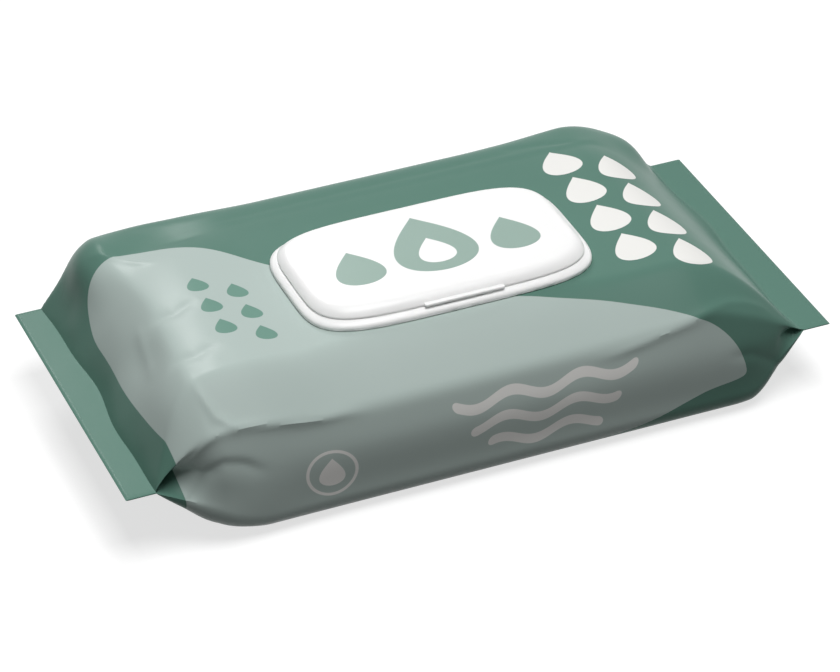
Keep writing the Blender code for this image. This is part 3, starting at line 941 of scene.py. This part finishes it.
def softenEdges(piece, angle):
    step = piece.modifiers.new("soft_edges", "BEVEL")
    step.width = closure["edgeRound"]
    step.segments = 2
    step.limit_method = "ANGLE"
    step.angle_limit = math.radians(angle)
    step.harden_normals = False
    applyLast(piece)
    finish(piece, angle)


def finish(piece, angle):
    bpy.ops.object.select_all(action="DESELECT")
    piece.select_set(True)
    bpy.context.view_layer.objects.active = piece
    bpy.ops.object.shade_smooth_by_angle(angle=math.radians(angle))
    bpy.ops.object.select_all(action="DESELECT")


def buildBase():
    lean, rise = closure["wallLean"], closure["seamHeight"] - closure["edgeHeight"]
    turn = math.radians(closure["wallTurn"])
    wall = []
    for step in range(closure["arcSteps"] + 1):
        angle = turn * step / closure["arcSteps"]
        inset = lean * (1 - math.cos(angle)) / (1 - math.cos(turn))
        wall.append(closureRing(inset, closure["edgeHeight"] + rise * math.sin(angle) / math.sin(turn)))
    upstand = lean + closure["wall"] + closure["lidFit"]
    inner = upstand + closure["wall"]
    collar, top = closure["collar"], closure["collarHeight"]
    rings = [
        closureRing(0, 0),
        *wall,
        closureRing(upstand, closure["seamHeight"]),
        closureRing(upstand + closure["draft"], closure["upstandHeight"]),
        closureRing(inner - closure["draft"], closure["upstandHeight"]),
        closureRing(inner, closure["deck"]),
        openingRing(collar + closure["draft"], closure["deck"]),
        openingRing(collar, top),
        openingRing(0, top),
        openingRing(0, 0),
        closureRing(inner - closure["wall"] / 2, 0),
        closureRing(inner - closure["wall"] / 2, closure["deck"]),
        closureRing(closure["wall"] + closure["draft"], closure["deck"]),
        closureRing(closure["wall"], 0),
    ]
    base = pullRings("closure_base", rings, closed=True)
    halfHinge = closure["hingeWidth"] / 2
    rear = hinge.y - closure["hingeGap"]
    low = (middleX - halfHinge, rearEdge - upstand, baseLow.z)
    joinTo(base, makeBlock("hingeSill", low, (middleX + halfHinge, rear, seamZ), 0))
    low = (middleX - halfHinge - touch, rear, baseLow.z - closure["seamHeight"])
    high = (middleX + halfHinge + touch, rearEdge + closure["seamHeight"], seamZ + closure["seamHeight"])
    joinTo(base, makeBlock("hingeRelief", low, high, 0), "DIFFERENCE")
    softenEdges(base, 40.0)
    return base


def buildLid():
    lean, wall = closure["wallLean"], closure["wall"]
    height, crown = closure["lidHeight"], closure["lidCrown"]
    shares = [1 - step / closure["crownSteps"] for step in range(closure["crownSteps"])]
    flat = lean + closure["lidSlope"]
    rings = [closureRing(flat, height + crown * (1 - share * share), share) for share in shares[::-1]]
    rings += [closureRing(*spot) for spot in lidProfile(0.0)[-2::-1]]
    rings += [closureRing(*spot) for spot in lidProfile(wall)]
    fit, plug, low = closure["collar"] + closure["plugFit"], closure["plug"], closure["deck"] + touch
    under = height - wall
    rings += [
        openingRing(fit + plug, under),
        openingRing(fit + plug - closure["draft"], low),
        openingRing(fit, low),
        openingRing(fit, under),
    ]
    rings += [openingRing(fit, under + crown * (1 - share * share), share) for share in shares[1:]]
    lid = pullRings("closure_lid", rings, closed=False)
    halfTab, halfHinge = closure["tabWidth"] / 2, closure["hingeWidth"] / 2
    skirt = baseLow.z + skirtHeight
    low = (middleX - halfTab, baseLow.y + closure["tabInset"], skirt)
    high = (middleX + halfTab, baseLow.y + lean + wall, skirt + closure["tabThickness"])
    joinTo(lid, makeBlock("thumbTab", low, high, closure["tabRound"]))
    bead = (middleX, baseLow.y + lean + wall, skirt + closure["beadRadius"])
    joinTo(lid, makeRod("snapBead", bead, closure["beadLength"], closure["beadRadius"]))
    low = (middleX - halfHinge, rearEdge - lean - wall, skirt)
    high = (middleX + halfHinge, hinge.y - closure["hingeGap"], skirt + closure["lidLip"])
    joinTo(lid, makeBlock("hingeTongue", low, high, 0))
    softenEdges(lid, 40.0)
    return lid


# The living hinge: a thin web of the same moulding, bent round the hinge line

web = {
    "thickness": 0.00016,
    "height": 0.0011,
    "steps": 14,
    "endGap": 0.0006,
    "setBack": 0.00006,
    "bulge": 0.00022,
}


def buildWeb():
    half = closure["hingeWidth"] / 2 - web["endGap"]
    start = hinge.y - closure["hingeGap"] + web["setBack"]
    bpy.ops.mesh.primitive_grid_add(x_subdivisions=40, y_subdivisions=web["steps"], size=1)
    strip = bpy.context.object
    strip.name = "hinge_web"
    for vertex in strip.data.vertices:
        across, up = vertex.co.x * 2 * half, vertex.co.y * web["height"]
        bulge = web["bulge"] * math.cos(math.pi * vertex.co.y)
        vertex.co = (middleX + across, start + bulge, hinge.z + up)
    step = strip.modifiers.new("skin", "SOLIDIFY")
    step.thickness = web["thickness"]
    step.offset = 0.0
    applyLast(strip)
    finish(strip, 60.0)
    return strip


# Peel-off label over the cut in the film, seen when the lid is open

label = {
    "margin": 0.0020,
    "thickness": 0.0003,
    "edgeRound": 0.00006,
    "tongueLength": 0.0012,
    "tongueWidth": 0.0060,
    "tonguePrint": 0.0105,  # how far its colour reaches in from the end of the opening
    "colour": (0.80, 0.82, 0.82),
    "tongueColour": (0.20, 0.355, 0.29),
}


def labelRing(inset, height, scale=1.0):
    places = openingRing(-label["margin"] - inset, height, scale)
    for place in places:
        if place.x < middleX:
            reach = math.exp(-((2 * (place.y - middleY) / label["tongueWidth"]) ** 4))
            place.x -= label["tongueLength"] * reach * scale
    return places


def buildLabel():
    top, edge = label["thickness"], label["edgeRound"]
    rings = [labelRing(0, 0, 0.05), labelRing(0, 0), labelRing(0, top - edge), labelRing(edge, top)]
    rings += [labelRing(edge, top, share) for share in (0.96, 0.7, 0.4, 0.05)]
    piece = pullRings("peel_label", rings, closed=False)
    finish(piece, 50.0)
    return piece


def makePlastic(name, colour, motifColour=None):
    material, tree, shader = newMaterial(name)
    place = tree.nodes.new("ShaderNodeTexCoord").outputs["Object"]
    grain = noiseOf(tree, place, 900.0, 3.0)
    cloud = noiseOf(tree, place, 45.0, 3.0)
    tree.links.new(spread(tree, cloud, 0.30, 0.40), shader.inputs["Roughness"])
    shade = mixColour(tree, cloud, tuple(0.985 * value for value in colour), colour)
    if motifColour:
        shade = mixColour(tree, lidMotif(tree, place), shade, motifColour)
    tree.links.new(shade, shader.inputs["Base Color"])
    shader.inputs["Subsurface Weight"].default_value = 0.3
    shader.inputs["Subsurface Scale"].default_value = 0.002
    shader.inputs["Subsurface Radius"].default_value = (1.0, 1.0, 1.0)
    bumpOf(tree, shader, grain, 0.06, 0.00008)
    return material


lidPrint = {
    "colour": (0.255, 0.370, 0.320),
    "drops": [
        {"x": 0.0, "y": 0.0010, "size": 0.0138},
        {"x": -0.0265, "y": -0.0035, "size": 0.0082},
        {"x": 0.0265, "y": -0.0035, "size": 0.0082},
    ],
    "clear": [{"x": 0.0, "y": -0.0035, "size": 0.0062}],
}


def lidMotif(tree, place):
    # three upright drops, the middle one with a clear drop inside it
    parts = tree.nodes.new("ShaderNodeSeparateXYZ")
    tree.links.new(place, parts.inputs["Vector"])
    x = calc(tree, "SUBTRACT", parts.outputs["X"], middleX)
    y = calc(tree, "SUBTRACT", parts.outputs["Y"], middleY)
    field = joinMotifs(tree, [drop(tree, x, y, {**motif, "turn": 90}) for motif in lidPrint["drops"]])
    clear = joinMotifs(tree, [drop(tree, x, y, {**motif, "turn": 90}) for motif in lidPrint["clear"]])
    field = calc(tree, "MINIMUM", field, calc(tree, "MULTIPLY", clear, -1.0))
    outside = baseLow.z + closure["lidHeight"] - closure["wall"] / 2
    above = calc(tree, "GREATER_THAN", parts.outputs["Z"], outside)
    return calc(tree, "MULTIPLY", edgeMask(tree, field, printDesign["edge"]), above)


def makeLabelMaterial():
    material, tree, shader = newMaterial("peelLabel")
    place = tree.nodes.new("ShaderNodeTexCoord").outputs["Object"]
    parts = tree.nodes.new("ShaderNodeSeparateXYZ")
    tree.links.new(place, parts.inputs["Vector"])
    printEnd = middleX - closure["openingLength"] / 2 + label["tonguePrint"]
    tongue = edgeMask(tree, calc(tree, "SUBTRACT", printEnd, parts.outputs["X"]), printDesign["edge"])
    colour = mixColour(tree, tongue, label["colour"], label["tongueColour"])
    tree.links.new(colour, shader.inputs["Base Color"])
    shader.inputs["Roughness"].default_value = 0.28
    shader.inputs["Coat Weight"].default_value = 0.2
    bumpOf(tree, shader, noiseOf(tree, place, 260.0, 3.0), 0.15, 0.0003)
    return material


print("camera and studio")
makeCamera()
makeStudio()

print("film")
filmSkinPiece = buildFilm()
filmSkinPiece.data.materials.append(makeFilmMaterial())
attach(filmSkinPiece, "pack")
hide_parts("film_pack")

print("closure")
# the base's white carries painted light: it is lighter than the lid's so that the base's walls look brighter;
# the hinge web shares this material
whitePlasticPaintedLight = makePlastic("whiteBasePaintedLight", closure["baseColourPaintedLight"])
base = buildBase()
base.data.materials.append(whitePlasticPaintedLight)
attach(base, "pack")
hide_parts("lid_frame")
lid = buildLid()
lid.data.materials.append(makePlastic("whiteLid", closure["lidColour"], lidPrint["colour"]))
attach(lid, "lid")
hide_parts("flip_lid")
strip = buildWeb()
strip.data.materials.append(whitePlasticPaintedLight)
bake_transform(strip)

print("label")
peel = buildLabel()
peel.data.materials.append(makeLabelMaterial())
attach(peel, "pack")
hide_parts("seal_label")

bpy.context.scene.view_settings.view_transform = "Standard"
